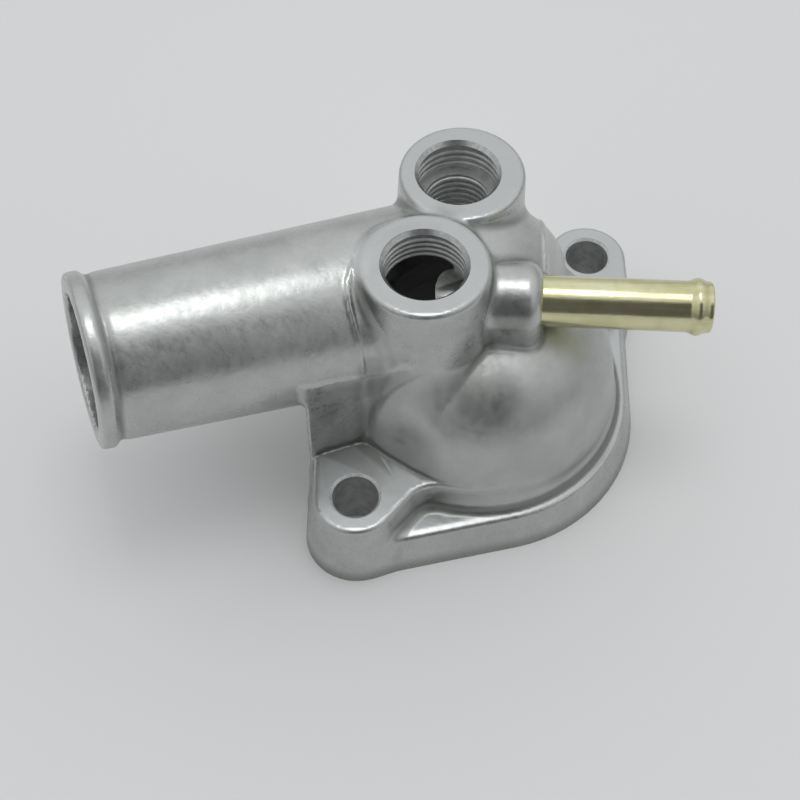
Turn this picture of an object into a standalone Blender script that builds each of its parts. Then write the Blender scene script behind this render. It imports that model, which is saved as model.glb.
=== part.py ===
"""Engine coolant outlet housing: one aluminium die casting with a steel hose nipple pressed into it.

Metres, +Z up. The origin lies on the gasket face, midway between the two bolt holes, on the dome's axis.
The hose pipe points to -X and a little to -Y, the nipple to +X. The front port and the front ear are at -Y.
"""

import math

import bmesh
import bpy
from mathutils import Matrix, Vector

# Bolts and ears
BOLT_SPACING = 0.0762
BOLT_LINE_ANGLE = math.radians(50.5)
BOLT_HOLE_RADIUS = 0.0045
BOLT_HOLE_CHAMFER = 0.0005
EAR_HEIGHT = 0.016
EAR_RADIUS = 0.0081
EAR_SPREAD = 0.0016

# Dome over the chamber
DOME_FOOT_RADIUS = 0.0281
DOME_FOOT_HEIGHT = 0.016
DOME_SIDE_LEAN = math.radians(15)
DOME_SHOULDER_RADIUS = 0.018
DOME_HEIGHT = 0.0373
DOME_WALL = 0.0035
SEAT_LEDGE = 0.0019
SEAT_RADIUS = DOME_FOOT_RADIUS - DOME_WALL + SEAT_LEDGE
SEAT_DEPTH = 0.0025

# Rim round the dome's foot: its land is the width of its flat top
RIM_HEIGHT = 0.0085
RIM_LAND = 0.0026
RIM_RADIUS = DOME_FOOT_RADIUS + RIM_LAND
RIM_END_RADIUS = 0.0073
RIM_SPREAD = 0.0022
RIM_EDGE = 0.0005

# Leaning wall behind each bolt's head, cut a little into the dome's foot
BOLT_WALL_CUT = 0.0008
BOLT_WALL_DISTANCE = DOME_FOOT_RADIUS - BOLT_WALL_CUT
BOLT_WALL_ANGLE = math.radians(-34)
BOLT_WALL_LEAN = math.radians(15)

# Hose pipe
PIPE_TURN = math.radians(19.7)
PIPE_TILT = math.radians(6.4)
PIPE_OFFSET = 0.009
PIPE_AXIS_HEIGHT = 0.034
PIPE_REACH = 0.0752
PIPE_RADIUS = 0.01545
PIPE_DRAFT = math.radians(1.5)
PIPE_BORE_RADIUS = 0.0126
PIPE_BORE_DRAFT = math.radians(0.5)
BEAD_LENGTH = 0.0035
BEAD_HEIGHT = 0.0009
GROOVE_DEPTH = 0.0003
GROOVE_LENGTH = 0.0020
MOUTH_CHAMFER = 0.0006

# Long round end of the pipe inside and over the dome
PIPE_END_BEFORE_AXIS = 0.006
PIPE_END_LENGTH = 0.0265
PIPE_BORE_END_LENGTH = 0.0170

# Throat wall under the pipe, whose left face stands a little out past the ear
THROAT_WALL_DISTANCE = 0.0085
THROAT_WALL_LEAN = math.radians(1.5)
THROAT_PAST_EAR = 0.0010
THROAT_LEFT = BOLT_SPACING / 2 * math.cos(BOLT_LINE_ANGLE) + EAR_RADIUS + THROAT_PAST_EAR

# Threaded ports
PORT_TOP_RADIUS = 0.012
PORT_EDGE = 0.001
THREAD_BORE_RADIUS = 0.0072
PORT_CHAMFER = 0.0010
FRONT_PORT = (-0.0112, -0.0030)
FRONT_PORT_HEIGHT = 0.0535
FRONT_PORT_DRAFT = math.radians(5.5)
FRONT_THREAD_DEPTH = 0.0079
FRONT_CORE_STEP = 0.0012
REAR_PORT = (-0.0047, 0.0200)
REAR_PORT_HEIGHT = 0.0526
REAR_PORT_DRAFT = math.radians(2.5)
REAR_THREAD_DEPTH = 0.0105
REAR_DRILL_RADIUS = 0.0052
REAR_BOSS_SHIFT = 0.0008

# Hose nipple
NIPPLE_HEIGHT = 0.0425
NIPPLE_OFFSET = 0.0023
NIPPLE_TURN = math.radians(2.9)
NIPPLE_RADIUS = 0.0048
NIPPLE_BORE_RADIUS = 0.0035
NIPPLE_REACH = 0.0420
NIPPLE_BEAD_HEIGHT = 0.0006
NIPPLE_BEAD_WIDTH = 0.0040
NIPPLE_BEAD_SETBACK = 0.0026
NIPPLE_SEAT_DEPTH = 0.0120
NIPPLE_BOSS_RADIUS = 0.0073
NIPPLE_BOSS_REACH = 0.0116
NIPPLE_BOSS_EDGE = 0.0018
NIPPLE_BOSS_INNER_REACH = 0.0090
NIPPLE_BOSS_INNER_RADIUS = 0.0054
NIPPLE_BOSS_INNER_EDGE = 0.0032

# Clearance between touching pieces, and how far a cutter passes the face it cuts
SEAT_GAP = 0.0003
OVERRUN = 0.002

# Facets round a full turn, and along the quarter rounds of turned profiles
LARGE_ROUND = 72
MEDIUM_ROUND = 48
SMALL_ROUND = 36
PIPE_END_STEPS = 9
BEAD_STEPS = 5
SHOULDER_STEPS = 10
EDGE_STEPS = 4

# Drillings are turned a little about their axes, so that their edges don't fall on those of a boss
DRILLING_TURN = math.radians(1.25)


def clear_scene():
    for old in list(bpy.data.objects):
        bpy.data.objects.remove(old, do_unlink=True)


def new_collection(name, parent=None):
    made = bpy.data.collections.new(name)
    (parent or bpy.context.scene.collection).children.link(made)
    return made


def new_material(name, colour, roughness, metallic):
    made = bpy.data.materials.new(name)
    made.use_nodes = True
    shader = made.node_tree.nodes["Principled BSDF"]
    shader.inputs["Base Color"].default_value = (*colour, 1)
    shader.inputs["Roughness"].default_value = roughness
    shader.inputs["Metallic"].default_value = metallic
    made.diffuse_color = (*colour, 1)
    return made


def new_object(name, mesh, collection, place=None):
    made = bpy.data.objects.new(name, mesh)
    made.matrix_world = place or Matrix()
    collection.objects.link(made)
    return made


def helper(thing):
    """A form that is joined to the casting or cut from it: it isn't a piece of its own."""
    thing.hide_render = True
    thing.display_type = "WIRE"
    return thing


def bpy_mesh(name, shape):
    bmesh.ops.recalc_face_normals(shape, faces=shape.faces)
    mesh = bpy.data.meshes.new(name)
    shape.to_mesh(mesh)
    shape.free()
    return mesh


def arc(centre, radius, start, end, steps):
    """Points on an arc in the plane, from one angle to another."""
    turns = [start + (end - start) * step / steps for step in range(steps + 1)]
    return [(centre[0] + radius * math.cos(turn), centre[1] + radius * math.sin(turn)) for turn in turns]


def turned(name, profile, collection, place, segments):
    """A solid of revolution. The profile is (radius, height) pairs down its outer side."""
    mesh = bpy.data.meshes.new(name)
    points = [(radius, 0, height) for radius, height in profile]
    mesh.from_pydata(points, [(i, i + 1) for i in range(len(points) - 1)], [])
    made = new_object(name, mesh, collection, place)
    screw = made.modifiers.new("Turn", "SCREW")
    screw.steps = screw.render_steps = segments
    screw.use_merge_vertices = True
    screw.merge_threshold = 0.00001
    screw.use_smooth_shade = True
    return made


def raised(name, outline, steps, collection, base=0.0):
    """A solid that rises from a flat outline. Each step draws its top inwards and lifts it."""
    shape = bmesh.new()
    top = shape.faces.new([shape.verts.new((x, y, base)) for x, y in outline])
    top.normal_update()
    if top.normal.z < 0:
        top.normal_flip()
    for inset, rise in steps:
        bmesh.ops.inset_region(
            shape, faces=[top], thickness=inset, depth=rise, use_even_offset=True, use_boundary=True
        )
    bmesh.ops.holes_fill(shape, edges=shape.edges)
    return helper(new_object(name, bpy_mesh(name, shape), collection))


def direction(angle):
    return Vector((math.cos(angle), math.sin(angle), 0))


def along(origin, axis):
    """A place whose +Z lies along the axis."""
    return Matrix.Translation(origin) @ axis.to_track_quat("Z", "Y").to_matrix().to_4x4()


def upright(spot, height=0.0):
    return Matrix.Translation((*spot, height))


def pipe_axis():
    """The pipe's nearest point to the dome's axis, and its direction towards the mouth."""
    level = -direction(PIPE_TURN)
    towards_rear = Vector((level.y, -level.x, 0))
    start = towards_rear * PIPE_OFFSET + Vector((0, 0, PIPE_AXIS_HEIGHT))
    return start, (level * math.cos(PIPE_TILT) + Vector((0, 0, math.sin(PIPE_TILT)))).normalized()


def nipple_axis():
    return Vector((0, -NIPPLE_OFFSET, NIPPLE_HEIGHT)), direction(-NIPPLE_TURN)


def bolt_centres():
    half = direction(BOLT_LINE_ANGLE) * BOLT_SPACING / 2
    return {"front": -half, "rear": half}


def flange_outline(middle_radius, end_radius):
    """The outline that wraps a large circle at the origin and an equal small one at each bolt."""
    side = math.acos((middle_radius - end_radius) / (BOLT_SPACING / 2))
    outline = []
    for turn, name in ((0, "rear"), (math.pi, "front")):
        centre = bolt_centres()[name]
        ahead = BOLT_LINE_ANGLE + turn
        outline += arc(centre, end_radius, ahead - side, ahead + side, SMALL_ROUND // 3)
        outline += arc((0, 0), middle_radius, ahead + side, ahead + math.pi - side, LARGE_ROUND // 4)
    return outline


def rim(collection):
    outline = flange_outline(RIM_RADIUS + RIM_SPREAD + RIM_EDGE, RIM_END_RADIUS + RIM_SPREAD + RIM_EDGE)
    steps = [(RIM_SPREAD, RIM_HEIGHT - RIM_EDGE), (RIM_EDGE, RIM_EDGE)]
    return raised("rim", outline, steps, collection)


def ear(collection, name):
    """The pad under a bolt's head, from the gasket face up.

    Seen from above it is round at its free end. One side runs straight to the throat's wall,
    and the other runs along the bolt line to the dome. Its root is inside both.
    """
    centre = bolt_centres()["front"]
    reach = EAR_RADIUS + EAR_SPREAD
    dome_side = BOLT_LINE_ANGLE + 1.5 * math.pi
    inwards = direction(BOLT_LINE_ANGLE)
    root = centre.length - DOME_FOOT_RADIUS + DOME_WALL
    throat_side = THROAT_WALL_DISTANCE - DOME_WALL
    left = centre.x - reach
    left_end = (left * math.sin(PIPE_TURN) - throat_side) / math.cos(PIPE_TURN)
    outline = arc(centre, reach, math.pi, dome_side, SMALL_ROUND // 2)
    outline.append(tuple((centre + direction(dome_side) * reach + inwards * root).xy))
    outline.append(tuple(centre.xy / 2))
    outline.append((left, left_end))
    if name == "rear":
        outline = [(-x, -y) for x, y in outline]
    return raised("ear_" + name, outline, [(EAR_SPREAD, EAR_HEIGHT)], collection)


def dome_profile(foot_radius, foot_height, height, shoulder):
    """Half of the dome's section, from its crown down to the foot."""
    centre_height = height - shoulder
    lean_radius = foot_radius - (centre_height + shoulder * math.sin(DOME_SIDE_LEAN) - foot_height) * math.tan(
        DOME_SIDE_LEAN
    )
    centre_radius = lean_radius - shoulder * math.cos(DOME_SIDE_LEAN)
    round_part = arc((centre_radius, centre_height), shoulder, math.pi / 2, DOME_SIDE_LEAN, SHOULDER_STEPS)
    return [(0, height)] + round_part + [(foot_radius, foot_height)]


def dome(collection):
    profile = dome_profile(DOME_FOOT_RADIUS, DOME_FOOT_HEIGHT, DOME_HEIGHT, DOME_SHOULDER_RADIUS)
    profile += [(DOME_FOOT_RADIUS, RIM_HEIGHT / 2), (0, RIM_HEIGHT / 2)]
    return helper(turned("dome", profile, collection, Matrix(), LARGE_ROUND))


def port_boss(name, spot, height, draft, collection):
    """A threaded port's boss, drafted all the way down to the gasket face so that the die draws off it."""
    spread = PORT_TOP_RADIUS + (height - PORT_EDGE) * math.tan(draft)
    edge = arc((PORT_TOP_RADIUS - PORT_EDGE, height - PORT_EDGE), PORT_EDGE, math.pi / 2, draft, EDGE_STEPS)
    profile = [(0, height)] + edge + [(spread, 0), (0, 0)]
    return helper(turned(name, profile, collection, upright(spot), MEDIUM_ROUND))


def throat(collection):
    """The wall from the gasket face up into the pipe's root, flush with the pipe's sides."""
    start, axis = pipe_axis()
    level = -direction(PIPE_TURN)
    front = Vector((-level.y, level.x, 0))
    half_width = THROAT_WALL_DISTANCE + PIPE_OFFSET
    shape = bmesh.new()
    bmesh.ops.create_cube(shape, size=1)
    bmesh.ops.scale(shape, vec=(PIPE_REACH, 2 * half_width, PIPE_AXIS_HEIGHT), verts=shape.verts)
    middle = start + level * PIPE_REACH / 2
    middle.z = PIPE_AXIS_HEIGHT / 2
    turn = Matrix.Rotation(PIPE_TURN, 4, "Z")
    bmesh.ops.transform(shape, matrix=Matrix.Translation(middle) @ turn, verts=shape.verts)
    lean = Vector((0, 0, math.sin(THROAT_WALL_LEAN)))
    bolt_level = Vector((0, 0, EAR_HEIGHT))
    up_pipe = Vector((0, 0, 1)) - axis * axis.z
    cuts = [
        (front * THROAT_WALL_DISTANCE + bolt_level, front * math.cos(THROAT_WALL_LEAN) + lean),
        (Vector((-THROAT_LEFT, 0, 0)), Vector((-1, 0, 0))),
        (start, up_pipe),
    ]
    for point, normal in cuts:
        kept = shape.verts[:] + shape.edges[:] + shape.faces[:]
        bmesh.ops.bisect_plane(shape, geom=kept, plane_co=point, plane_no=normal, clear_outer=True)
        bmesh.ops.holes_fill(shape, edges=shape.edges)
    return helper(new_object("throat", bpy_mesh("throat", shape), collection))


def bolt_pocket(collection, name):
    """The room for a bolt's head above its ear: a block bounded by the throat's wall and by a leaning one."""
    turn = 0 if name == "front" else math.pi
    turned_by = Matrix.Rotation(turn, 4, "Z")
    shape = bmesh.new()
    bmesh.ops.create_cube(shape, size=BOLT_SPACING)
    centre = bolt_centres()["front"] + Vector((0, 0, EAR_HEIGHT + BOLT_SPACING / 2))
    bmesh.ops.translate(shape, vec=centre, verts=shape.verts)
    throat_side = Vector((math.sin(PIPE_TURN), -math.cos(PIPE_TURN), 0))
    dome_side = Vector((math.sin(BOLT_WALL_ANGLE), -math.cos(BOLT_WALL_ANGLE), 0))
    up = Vector((0, 0, 1))
    level = Vector((0, 0, EAR_HEIGHT))
    walls = [
        (throat_side, THROAT_WALL_DISTANCE, THROAT_WALL_LEAN),
        (dome_side, BOLT_WALL_DISTANCE, BOLT_WALL_LEAN),
    ]
    for outwards, distance, lean in walls:
        normal = outwards * math.cos(lean) + up * math.sin(lean)
        kept = shape.verts[:] + shape.edges[:] + shape.faces[:]
        bmesh.ops.bisect_plane(
            shape, geom=kept, plane_co=outwards * distance + level, plane_no=normal, clear_inner=True
        )
        bmesh.ops.holes_fill(shape, edges=shape.edges)
    bmesh.ops.transform(shape, matrix=turned_by, verts=shape.verts)
    return helper(new_object("bolt_pocket_" + name, bpy_mesh("bolt_pocket_" + name, shape), collection))


def pipe_radius(back):
    """The pipe's outer radius at a distance back from its mouth."""
    return PIPE_RADIUS + back * math.tan(PIPE_DRAFT)


def long_end(radius, length):
    """Half of an egg-shaped end on the pipe's axis, as (radius, height) pairs from its side to its tip."""
    quarter = arc((0, 0), 1, 0, math.pi / 2, PIPE_END_STEPS)
    return [(radius * out, PIPE_END_BEFORE_AXIS - length * past) for out, past in quarter]


def pipe(collection):
    """The hose pipe from its mouth back past the dome's axis, with the bead that holds the hose.

    The bead is round at its crest and falls into a shallow groove on the side away from the mouth.
    """
    start, axis = pipe_axis()
    back = PIPE_REACH - PIPE_END_BEFORE_AXIS
    profile = [(0, PIPE_REACH), (PIPE_RADIUS - MOUTH_CHAMFER, PIPE_REACH)]
    for step in range(1, BEAD_STEPS):
        turn = math.pi * step / BEAD_STEPS
        depth = BEAD_LENGTH * (1 - math.cos(turn)) / 2
        profile.append((PIPE_RADIUS + BEAD_HEIGHT * math.sin(turn), PIPE_REACH - depth))
    groove_end = BEAD_LENGTH + GROOVE_LENGTH
    profile.append((PIPE_RADIUS - GROOVE_DEPTH, PIPE_REACH - BEAD_LENGTH))
    profile.append((pipe_radius(groove_end), PIPE_REACH - groove_end))
    profile += long_end(pipe_radius(back), PIPE_END_LENGTH)
    return helper(turned("pipe", profile, collection, along(start, axis), MEDIUM_ROUND))


def nipple_boss(collection):
    """The boss that holds the nipple: a plain end outside, and a rounded one inside under the front port."""
    start, axis = nipple_axis()
    outer = arc(
        (NIPPLE_BOSS_RADIUS - NIPPLE_BOSS_EDGE, NIPPLE_BOSS_REACH - NIPPLE_BOSS_EDGE),
        NIPPLE_BOSS_EDGE, math.pi / 2, 0, EDGE_STEPS,
    )
    profile = [(0, NIPPLE_BOSS_REACH)] + outer
    profile += [(NIPPLE_BOSS_RADIUS, 0), (0, 0)]
    return helper(turned("nipple_boss", profile, collection, along(start, axis), MEDIUM_ROUND))


def chamber(collection):
    """The hollow above the gasket face, with the recess that seats the valve's flange."""
    shoulder = DOME_SHOULDER_RADIUS - DOME_WALL
    foot_radius = DOME_FOOT_RADIUS - DOME_WALL
    profile = dome_profile(foot_radius, DOME_FOOT_HEIGHT, DOME_HEIGHT - DOME_WALL, shoulder)
    profile += [(foot_radius, SEAT_DEPTH), (SEAT_RADIUS, SEAT_DEPTH), (SEAT_RADIUS, -OVERRUN), (0, -OVERRUN)]
    return helper(turned("chamber", profile, collection, Matrix(), LARGE_ROUND))


def drilling(name, profile, collection, place, segments):
    """A turned cutter, with its facets off those of the boss that it enters."""
    off_facets = Matrix.Rotation(DRILLING_TURN, 4, "Z")
    return helper(turned(name, profile, collection, place @ off_facets, segments))


def pipe_bore(collection):
    start, axis = pipe_axis()
    back = PIPE_REACH - PIPE_END_BEFORE_AXIS
    end_radius = PIPE_BORE_RADIUS - back * math.tan(PIPE_BORE_DRAFT)
    mouth_radius = PIPE_BORE_RADIUS + MOUTH_CHAMFER
    profile = [(0, PIPE_REACH + OVERRUN), (mouth_radius, PIPE_REACH + OVERRUN), (mouth_radius, PIPE_REACH)]
    profile += [(PIPE_BORE_RADIUS, PIPE_REACH - MOUTH_CHAMFER)]
    profile += long_end(end_radius, PIPE_BORE_END_LENGTH)
    return drilling("pipe_bore", profile, collection, along(start, axis), MEDIUM_ROUND)


def port_mouth():
    """The chamfered mouth of a threaded port, from its bottom face at height 0."""
    mouth = THREAD_BORE_RADIUS + PORT_CHAMFER
    return [(0, OVERRUN), (mouth, OVERRUN), (mouth, 0), (THREAD_BORE_RADIUS, -PORT_CHAMFER)]


def front_port_bore(collection):
    """The threaded hole and the wider cast hollow under it, which joins the chamber."""
    core = THREAD_BORE_RADIUS + FRONT_CORE_STEP
    depth = FRONT_PORT_HEIGHT - DOME_HEIGHT + 2 * DOME_WALL
    profile = port_mouth() + [
        (THREAD_BORE_RADIUS, -FRONT_THREAD_DEPTH),
        (core, -FRONT_THREAD_DEPTH - FRONT_CORE_STEP / 2),
        (core, -depth),
        (0, -depth),
    ]
    return drilling("front_port_bore", profile, collection, upright(FRONT_PORT, FRONT_PORT_HEIGHT), MEDIUM_ROUND)


def rear_port_bore(collection):
    """The threaded hole and the narrower drilling below it, which breaks into the pipe's bore."""
    depth = REAR_PORT_HEIGHT - PIPE_AXIS_HEIGHT
    profile = port_mouth() + [
        (THREAD_BORE_RADIUS, -REAR_THREAD_DEPTH),
        (REAR_DRILL_RADIUS, -REAR_THREAD_DEPTH - (THREAD_BORE_RADIUS - REAR_DRILL_RADIUS) / 2),
        (REAR_DRILL_RADIUS, -depth),
        (0, -depth),
    ]
    return drilling("rear_port_bore", profile, collection, upright(REAR_PORT, REAR_PORT_HEIGHT), MEDIUM_ROUND)


def bolt_hole(collection, name):
    mouth = BOLT_HOLE_RADIUS + BOLT_HOLE_CHAMFER
    profile = [
        (0, EAR_HEIGHT + OVERRUN),
        (mouth, EAR_HEIGHT + OVERRUN),
        (mouth, EAR_HEIGHT),
        (BOLT_HOLE_RADIUS, EAR_HEIGHT - BOLT_HOLE_CHAMFER),
        (BOLT_HOLE_RADIUS, -OVERRUN),
        (0, -OVERRUN),
    ]
    return drilling("bolt_hole_" + name, profile, collection, Matrix.Translation(bolt_centres()[name]), SMALL_ROUND)


def nipple_seat(collection):
    """The drilling that takes the nipple, and the smaller one that goes on into the hollow."""
    start, axis = nipple_axis()
    seat = NIPPLE_RADIUS + SEAT_GAP
    bottom = NIPPLE_BOSS_REACH - NIPPLE_SEAT_DEPTH - SEAT_GAP
    profile = [
        (0, NIPPLE_BOSS_REACH + OVERRUN),
        (seat, NIPPLE_BOSS_REACH + OVERRUN),
        (seat, bottom),
        (NIPPLE_BORE_RADIUS, bottom),
        (NIPPLE_BORE_RADIUS, -NIPPLE_BOSS_INNER_REACH - OVERRUN),
        (0, -NIPPLE_BOSS_INNER_REACH - OVERRUN),
    ]
    return drilling("nipple_seat", profile, collection, along(start, axis), SMALL_ROUND)


def inner_nipple_boss(collection):
    """The round-ended cast boss that carries the nipple's drilling into the hollow under the front port."""
    start, axis = nipple_axis()
    radius, edge = NIPPLE_BOSS_INNER_RADIUS, NIPPLE_BOSS_INNER_EDGE
    profile = [(0, NIPPLE_BOSS_REACH / 2), (radius, NIPPLE_BOSS_REACH / 2)]
    profile += arc((radius - edge, edge - NIPPLE_BOSS_INNER_REACH), edge, 0, -math.pi / 2, EDGE_STEPS + 1)
    profile += [(0, -NIPPLE_BOSS_INNER_REACH)]
    return helper(turned("inner_nipple_boss", profile, collection, along(start, axis), SMALL_ROUND))


def combine(target, operation, other):
    boolean = target.modifiers.new(other.name, "BOOLEAN")
    boolean.operation = operation
    boolean.object = other
    boolean.solver = "EXACT"


def housing_casting(parts, helpers, material):
    body = dome(helpers)
    body.name = "housing_casting"
    helpers.objects.unlink(body)
    parts.objects.link(body)
    body.hide_render = False
    body.display_type = "TEXTURED"
    rear_boss = (REAR_PORT[0] + REAR_BOSS_SHIFT, REAR_PORT[1])
    joined_later = [
        port_boss("front_port_boss", FRONT_PORT, FRONT_PORT_HEIGHT, FRONT_PORT_DRAFT, helpers),
        port_boss("rear_port_boss", rear_boss, REAR_PORT_HEIGHT, REAR_PORT_DRAFT, helpers),
        rim(helpers),
        ear(helpers, "front"),
        ear(helpers, "rear"),
        pipe(helpers),
        nipple_boss(helpers),
    ]
    hollows = [
        chamber(helpers),
        pipe_bore(helpers),
        front_port_bore(helpers),
        rear_port_bore(helpers),
    ]
    drillings = [bolt_hole(helpers, "front"), bolt_hole(helpers, "rear"), nipple_seat(helpers)]
    combine(body, "UNION", throat(helpers))
    for name in ("front", "rear"):
        combine(body, "DIFFERENCE", bolt_pocket(helpers, name))
    for form in joined_later:
        combine(body, "UNION", form)
    for form in hollows:
        combine(body, "DIFFERENCE", form)
    combine(body, "UNION", inner_nipple_boss(helpers))
    for form in drillings:
        combine(body, "DIFFERENCE", form)
    body.data.materials.append(material)
    return body


def hose_nipple(parts, material):
    """A plated steel tube with a rolled bead near its free end."""
    start, axis = nipple_axis()
    bead_middle = NIPPLE_REACH - NIPPLE_BEAD_SETBACK
    half = NIPPLE_BEAD_WIDTH / 2
    bead = [
        (NIPPLE_RADIUS + NIPPLE_BEAD_HEIGHT * (1 + math.cos(step * math.pi / 4)) / 2, bead_middle - half * step / 4)
        for step in range(-4, 5)
    ]
    inner_end = NIPPLE_BOSS_REACH - NIPPLE_SEAT_DEPTH
    profile = [(NIPPLE_BORE_RADIUS, NIPPLE_REACH), (NIPPLE_RADIUS, NIPPLE_REACH)] + bead
    profile += [(NIPPLE_RADIUS, inner_end), (NIPPLE_BORE_RADIUS, inner_end), (NIPPLE_BORE_RADIUS, NIPPLE_REACH)]
    tube = turned("hose_nipple", profile, parts, along(start, axis), SMALL_ROUND)
    tube.data.materials.append(material)
    return tube


def main():
    clear_scene()
    parts = new_collection("coolant_outlet_housing")
    helpers = new_collection("forms_and_cutters")
    cast_aluminium = new_material("cast_aluminium", (0.33, 0.34, 0.33), 0.45, 0.9)
    plated_steel = new_material("yellow_plated_steel", (0.62, 0.58, 0.30), 0.25, 1.0)
    housing_casting(parts, helpers, cast_aluminium)
    hose_nipple(parts, plated_steel)


main()
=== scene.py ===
import math

import bmesh
import bpy
import numpy as np
from mathutils import Matrix, Vector


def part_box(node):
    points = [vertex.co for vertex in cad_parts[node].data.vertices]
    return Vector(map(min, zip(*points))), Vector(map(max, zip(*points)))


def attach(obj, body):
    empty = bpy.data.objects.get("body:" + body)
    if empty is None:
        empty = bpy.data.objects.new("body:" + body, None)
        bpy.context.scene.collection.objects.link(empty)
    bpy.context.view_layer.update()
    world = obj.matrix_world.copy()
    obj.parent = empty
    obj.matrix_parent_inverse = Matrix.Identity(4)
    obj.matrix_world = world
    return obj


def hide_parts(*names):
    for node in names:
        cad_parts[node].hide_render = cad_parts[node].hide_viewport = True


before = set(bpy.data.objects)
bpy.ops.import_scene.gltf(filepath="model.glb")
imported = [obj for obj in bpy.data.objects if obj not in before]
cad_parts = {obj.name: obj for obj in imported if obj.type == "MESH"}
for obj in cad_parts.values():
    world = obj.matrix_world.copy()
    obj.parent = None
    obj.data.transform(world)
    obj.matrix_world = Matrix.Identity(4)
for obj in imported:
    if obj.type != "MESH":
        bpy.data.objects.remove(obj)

# Sizes are in millimetres in the frame of the CAD solids, and turned into metres when a mesh is made.
MM = 0.001

# Bolts and ears
BOLT_SPACING = 76.2
BOLT_LINE_ANGLE = math.radians(50.5)
BOLT_HOLE_RADIUS = 4.5
BOLT_HOLE_CHAMFER = 0.5
EAR_HEIGHT = 16.0
EAR_RADIUS = 8.1
EAR_SPREAD = 1.6
EAR_EDGE = 0.9
EAR_TO_DOME = 4.0
EAR_INTO_THROAT = 1.5
BOLT_WALL_DISTANCE = 27.3
BOLT_WALL_ANGLE = math.radians(-34)
BOLT_WALL_LEAN = math.radians(15)

# Rim round the dome's foot
RIM_HEIGHT = 8.5
RIM_RADIUS = 30.7
RIM_END_RADIUS = 7.3
RIM_SPREAD = 2.3
RIM_STRIP_WIDTH = 1.25
RIM_STRIP_BEND = 0.9
RIM_STRIP_SLOPE = 0.19

# Dome and the chamber under it
DOME_FOOT_RADIUS = 28.1
DOME_FOOT_HEIGHT = 16.0
DOME_SIDE_LEAN = math.radians(15)
DOME_SHOULDER_RADIUS = 18.0
DOME_HEIGHT = 37.3
DOME_WALL = 3.5
SEAT_RADIUS = 26.5
SEAT_DEPTH = 2.5

# Hose pipe
PIPE_TURN = math.radians(19.7)
PIPE_TILT = math.radians(6.4)
PIPE_OFFSET = 9.0
PIPE_AXIS_HEIGHT = 34.0
PIPE_REACH = 75.2
PIPE_RADIUS = 15.45
PIPE_DRAFT = math.radians(1.5)
PIPE_BORE_RADIUS = 12.6
PIPE_BORE_DRAFT = math.radians(0.5)
PIPE_END_BEFORE_AXIS = 6.0
PIPE_END_LENGTH = 26.5
PIPE_BORE_END_LENGTH = 17.0
BEAD_LENGTH = 3.5
BEAD_HEIGHT = 0.9
GROOVE_DEPTH = 0.3

# Throat wall under the pipe
THROAT_WALL_DISTANCE = 8.5
THROAT_WALL_LEAN = math.radians(2.6)
THROAT_LEFT = 33.3

# Threaded ports
PORT_TOP_RADIUS = 12.0
THREAD_RADIUS = 8.05
THREAD_CREST_RADIUS = 7.5
PORT_MOUTH_RADIUS = 8.25
PORT_CHAMFER_DEPTH = 0.8
FIRST_ROOT_DEPTH = 1.1
FRONT_PORT = (-11.2, -3.0)
FRONT_PORT_HEIGHT = 53.5
FRONT_PORT_DRAFT = math.radians(5.5)
FRONT_THREAD_DEPTH = 8.3
FRONT_THREAD_PITCH = 1.35
FRONT_CORE_RADIUS = 8.4
FRONT_CORE_OVERLAP = 0.2
REAR_PORT = (-4.7, 20.0)
REAR_PORT_HEIGHT = 52.6
REAR_PORT_DRAFT = math.radians(2.5)
REAR_THREAD_DEPTH = 7.5
REAR_THREAD_PITCH = 1.5
REAR_DRILL_RADIUS = 6.2
REAR_DRILL_MARKS_START = 0.8
REAR_DRILL_MARKS_DEPTH = 9.0
REAR_DRILL_MARKS_HEIGHT = 0.35
REAR_THREAD_RUNOUT = 0.4
REAR_CREST_WEAR = 0.15
REAR_BOSS_SHIFT = 0.8

# Hose nipple
NIPPLE_HEIGHT = 42.5
NIPPLE_OFFSET = 2.3
NIPPLE_TURN = math.radians(2.9)
NIPPLE_RADIUS = 4.8
NIPPLE_BORE_RADIUS = 3.5
NIPPLE_REACH = 42.0
NIPPLE_BEAD_HEIGHT = 0.6
NIPPLE_BEAD_WIDTH = 4.0
NIPPLE_BEAD_SETBACK = 2.6
NIPPLE_SEAT_DEPTH = 12.0
NIPPLE_BOSS_RADIUS = 7.3
NIPPLE_BOSS_REACH = 10.7
NIPPLE_BOSS_EDGE = 3.0
NIPPLE_BOSS_INNER_REACH = 9.0
NIPPLE_BOSS_INNER_RADIUS = 5.4
NIPPLE_SEAT_GAP = 0.06
NIPPLE_DRILL_RADIUS = 2.4

# Parting lines of the die: one across the pipe, one round its inner end
PIPE_PARTING_REACH = 26.6
PIPE_PARTING_BEND_FROM = -11.0
PIPE_PARTING_BEND = 0.045
END_PARTING_X = 12.0
PARTING_WIDTH = 0.5
PARTING_HEIGHT = 0.35

# Fillets and soft edges of the casting
FOOT_FILLET = 1.6
FLANGE_FILLET = 1.9
PAD_FILLET = 0.4
BOSS_FILLET = 4.5
CREASE_FILLET = 0.9
SOFT_EDGE = 0.9
FINE_EDGE = 0.5
RIM_EDGE = 0.6

# How far the raw form passes the gasket face before that is milled
BELOW_GASKET = 1.2

# Spacing of the field that the casting's surface is drawn from, and the most triangles it keeps
FIELD_STEP = 0.55
CASTING_TRIANGLES = 186_000

# Places of the casting's finishes: as cast, cut, a port's turned chamfer, the bright edge of a bolt's hole
AS_CAST, CUT, TURNED, BRIGHT_EDGE = 0, 1, 2, 3

# Middle and reach of a patch where the painted corner shade is left out, so that the skin stays light into
# the corner below the nipple's boss
UNSHADED_PATCH = (6.0, -10.6, 37.6)
UNSHADED_PATCH_REACH = 5.0
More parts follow.
